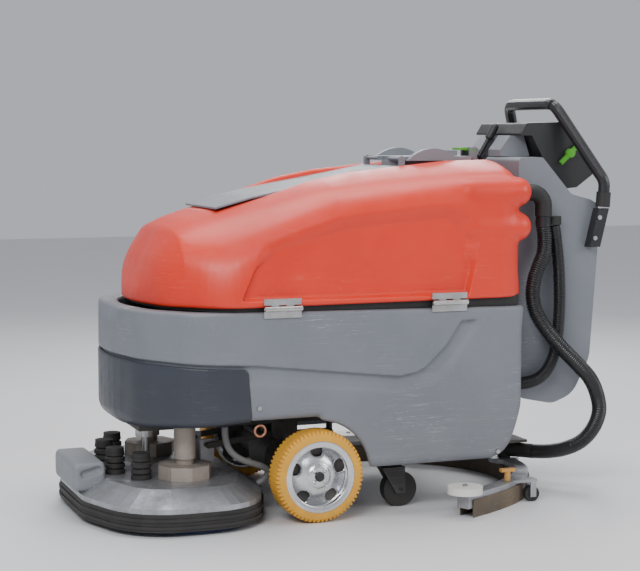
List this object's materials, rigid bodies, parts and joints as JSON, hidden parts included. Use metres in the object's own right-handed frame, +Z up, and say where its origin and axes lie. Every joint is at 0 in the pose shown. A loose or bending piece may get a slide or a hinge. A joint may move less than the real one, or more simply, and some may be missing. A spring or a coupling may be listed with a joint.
{
  "type": "walk-behind wet dry floor scrubber",
  "caption": "Walk-behind floor scrubber with a twin-brush deck, a tipping recovery tank, a curved squeegee and a rear hand rail.",
  "frame": {"origin": "on the floor, at the middle of the machine's bounding box in plan", "axes": "+Z up, +X along the machine from the brush deck towards the operator, +Y towards the machine's right-hand side as the operator sees it facing forwards"},
  "size_m": [1.582, 0.98, 1.16],
  "materials": {
    "tank_shell": "rotomoulded polyethylene, slightly glossy",
    "base_shell": "rotomoulded polyethylene, fine orange-peel",
    "dark_cover": "satin moulded cover, scratched",
    "grey_plastic": "satin moulded plastic",
    "black_plastic": "textured moulded plastic",
    "black_steel": "powder coated",
    "frame_steel": "painted weldment",
    "zinc_steel": "zinc plated",
    "rim_alloy": "cast and polished",
    "deck_alloy": "cast, lightly worn",
    "tyre_rubber": "non-marking rubber with fine cross teeth",
    "black_rubber": "black rubber",
    "blade_rubber": "tan gum rubber",
    "hose_black": "corrugated vinyl",
    "hose_grey": "smooth vinyl",
    "green_plastic": "satin moulded",
    "yellow_plastic": "satin moulded",
    "white_plastic": "smooth moulded",
    "motor_paint": "painted motor case",
    "battery_case": "moulded case",
    "bristle": "nylon bristle",
    "copper_ring": "worn plating"
  },
  "bodies": {
    "machine": {"chassis_frame": "frame_steel", "base_housing": "base_shell", "front_cover": "dark_cover", "battery_pack": "battery_case", "transaxle": "frame_steel", "caster_mounts": "zinc_steel", "tank_seal": "black_rubber", "base_hinge_leaves": "zinc_steel", "hinge_pins": "zinc_steel", "rear_column": "base_shell", "console_housing": "grey_plastic", "control_box": "black_plastic", "handle_rail": "black_steel", "handle_brackets": "black_steel", "handle_sleeves": "black_rubber", "fasteners": "zinc_steel", "suction_motor": "black_plastic", "drive_controller": "rim_alloy", "hose_elbow": "black_rubber", "drain_plug": "black_rubber", "lashing_rings": "copper_ring", "suction_hose": "hose_black", "drain_hose": "hose_black", "solution_hose": "hose_grey", "lift_actuator": "zinc_steel"},
    "tank": {"recovery_tank": "tank_shell", "tank_hinge_leaves": "zinc_steel", "top_inlay": "grey_plastic"},
    "lid": {"tank_lid": "grey_plastic"},
    "latch": {"lid_latch": "green_plastic"},
    "lever": {"squeegee_lever": "black_plastic"},
    "paddle": {"drive_paddle": "green_plastic"},
    "knob": {"control_knob": "black_plastic"},
    "drive_left": {"wheel_left": "rim_alloy", "tyre_left": "tyre_rubber"},
    "drive_right": {"wheel_right": "rim_alloy", "tyre_right": "tyre_rubber"},
    "fork_left": {"caster_fork_left": "zinc_steel"},
    "fork_right": {"caster_fork_right": "zinc_steel"},
    "castor_left": {"caster_wheel_left": "black_rubber"},
    "castor_right": {"caster_wheel_right": "black_rubber"},
    "deck": {"deck_housing": "deck_alloy", "deck_skirt": "black_rubber", "bumper_block": "grey_plastic", "brush_motors": "motor_paint", "deck_buffers": "black_rubber", "lift_rod": "zinc_steel"},
    "yoke": {"lift_yoke": "frame_steel"},
    "scrub_left": {"brush_left": "bristle"},
    "scrub_right": {"brush_right": "bristle"},
    "carrier": {"squeegee_carrier": "frame_steel", "suction_elbow": "black_rubber"},
    "arms": {"squeegee_arms": "frame_steel"},
    "squeegee": {"squeegee_body": "deck_alloy", "squeegee_blades": "blade_rubber"},
    "roller_left": {"wall_roller_left": "white_plastic"},
    "roller_right": {"wall_roller_right": "white_plastic"},
    "support": {"support_wheels": "black_rubber"},
    "screw_left": {"squeegee_knob_left": "yellow_plastic"},
    "screw_right": {"squeegee_knob_right": "yellow_plastic"}
  },
  "joints": [
    {"name": "tank_tilt", "type": "hinge", "parent": "machine", "child": "tank", "pos_m": [0, -0.368, 0.59], "axis": [1, 0, 0], "range_deg": [0, 80]},
    {"name": "lid_hinge", "type": "hinge", "parent": "tank", "child": "lid", "pos_m": [0.172, 0, 0.984], "axis": [0, -1, 0], "range_deg": [0, 100]},
    {"name": "latch_hinge", "type": "hinge", "parent": "tank", "child": "latch", "pos_m": [0.448, 0, 1.006], "axis": [0, 1, 0], "range_deg": [0, 45]},
    {"name": "squeegee_lift", "type": "slide", "parent": "machine", "child": "carrier", "axis": [0, 0, 1], "range_m": [0, 0.03], "deforming": ["suction_hose"]},
    {"name": "lever_pivot", "type": "hinge", "parent": "machine", "child": "lever", "pos_m": [0.508, 0, 0.943], "axis": [0, -1, 0], "range_deg": [0, 15]},
    {"name": "arm_swing", "type": "hinge", "parent": "machine", "child": "arms", "pos_m": [0.27, 0, 0.176], "axis": [0, -1, 0], "range_deg": [0, 8.6]},
    {"name": "deck_lift", "type": "slide", "parent": "machine", "child": "deck", "axis": [0, 0, 1], "range_m": [0, 0.05], "deforming": ["solution_hose"]},
    {"name": "yoke_swing", "type": "hinge", "parent": "machine", "child": "yoke", "pos_m": [-0.195, 0, 0.204], "axis": [0, 1, 0], "range_deg": [0, 14.4]},
    {"name": "paddle_pivot", "type": "hinge", "parent": "machine", "child": "paddle", "pos_m": [0.705, 0, 0.998], "axis": [0, 1, 0], "range_deg": [-16, 16], "stiffness_Nm_per_rad": 1.2},
    {"name": "speed_knob", "type": "hinge", "parent": "machine", "child": "knob", "pos_m": [0.671, -0.06, 1.0208], "axis": [0.8295, 0, 0.5584], "range_deg": [-135, 135]},
    {"name": "wheel_spin_left", "type": "hinge", "parent": "machine", "child": "drive_left", "pos_m": [-0.165, -0.335, 0.127], "axis": [0, 1, 0], "continuous": true},
    {"name": "wheel_spin_right", "type": "hinge", "parent": "machine", "child": "drive_right", "pos_m": [-0.165, 0.335, 0.127], "axis": [0, 1, 0], "continuous": true},
    {"name": "caster_swivel_left", "type": "hinge", "parent": "machine", "child": "fork_left", "pos_m": [0.09, -0.235, 0.2], "axis": [0, 0, 1], "continuous": true},
    {"name": "caster_roll_left", "type": "hinge", "parent": "fork_left", "child": "castor_left", "pos_m": [0.122, -0.235, 0.05], "axis": [0, 1, 0], "continuous": true},
    {"name": "caster_swivel_right", "type": "hinge", "parent": "machine", "child": "fork_right", "pos_m": [0.09, 0.235, 0.2], "axis": [0, 0, 1], "continuous": true},
    {"name": "caster_roll_right", "type": "hinge", "parent": "fork_right", "child": "castor_right", "pos_m": [0.122, 0.235, 0.05], "axis": [0, 1, 0], "continuous": true},
    {"name": "brush_spin_left", "type": "hinge", "parent": "deck", "child": "scrub_left", "pos_m": [-0.495, -0.19, 0.1], "axis": [0, 0, 1], "continuous": true},
    {"name": "brush_spin_right", "type": "hinge", "parent": "deck", "child": "scrub_right", "pos_m": [-0.495, 0.19, 0.1], "axis": [0, 0, 1], "continuous": true},
    {"name": "squeegee_swing", "type": "hinge", "parent": "carrier", "child": "squeegee", "pos_m": [0.575, 0, 0.05], "axis": [0, 0, 1], "range_deg": [-6, 6]},
    {"name": "roller_spin_left", "type": "hinge", "parent": "squeegee", "child": "roller_left", "pos_m": [0.235, -0.441, 0.075], "axis": [0, 0, 1], "continuous": true},
    {"name": "roller_spin_right", "type": "hinge", "parent": "squeegee", "child": "roller_right", "pos_m": [0.235, 0.441, 0.075], "axis": [0, 0, 1], "continuous": true},
    {"name": "support_roll", "type": "hinge", "parent": "squeegee", "child": "support", "pos_m": [0.5033, 0, 0.022], "axis": [0, 1, 0], "continuous": true},
    {"name": "knob_turn_left", "type": "hinge", "parent": "squeegee", "child": "screw_left", "pos_m": [0.42497, -0.32193, 0.08], "axis": [0, 0, 1], "continuous": true},
    {"name": "knob_turn_right", "type": "hinge", "parent": "squeegee", "child": "screw_right", "pos_m": [0.42497, 0.32193, 0.08], "axis": [0, 0, 1], "continuous": true}
  ],
  "couplings": [
    {"joint": "lever_pivot", "follows": "squeegee_lift", "rad_per_m": 8},
    {"joint": "arm_swing", "follows": "squeegee_lift", "rad_per_m": 5},
    {"joint": "yoke_swing", "follows": "deck_lift", "rad_per_m": 5}
  ]
}
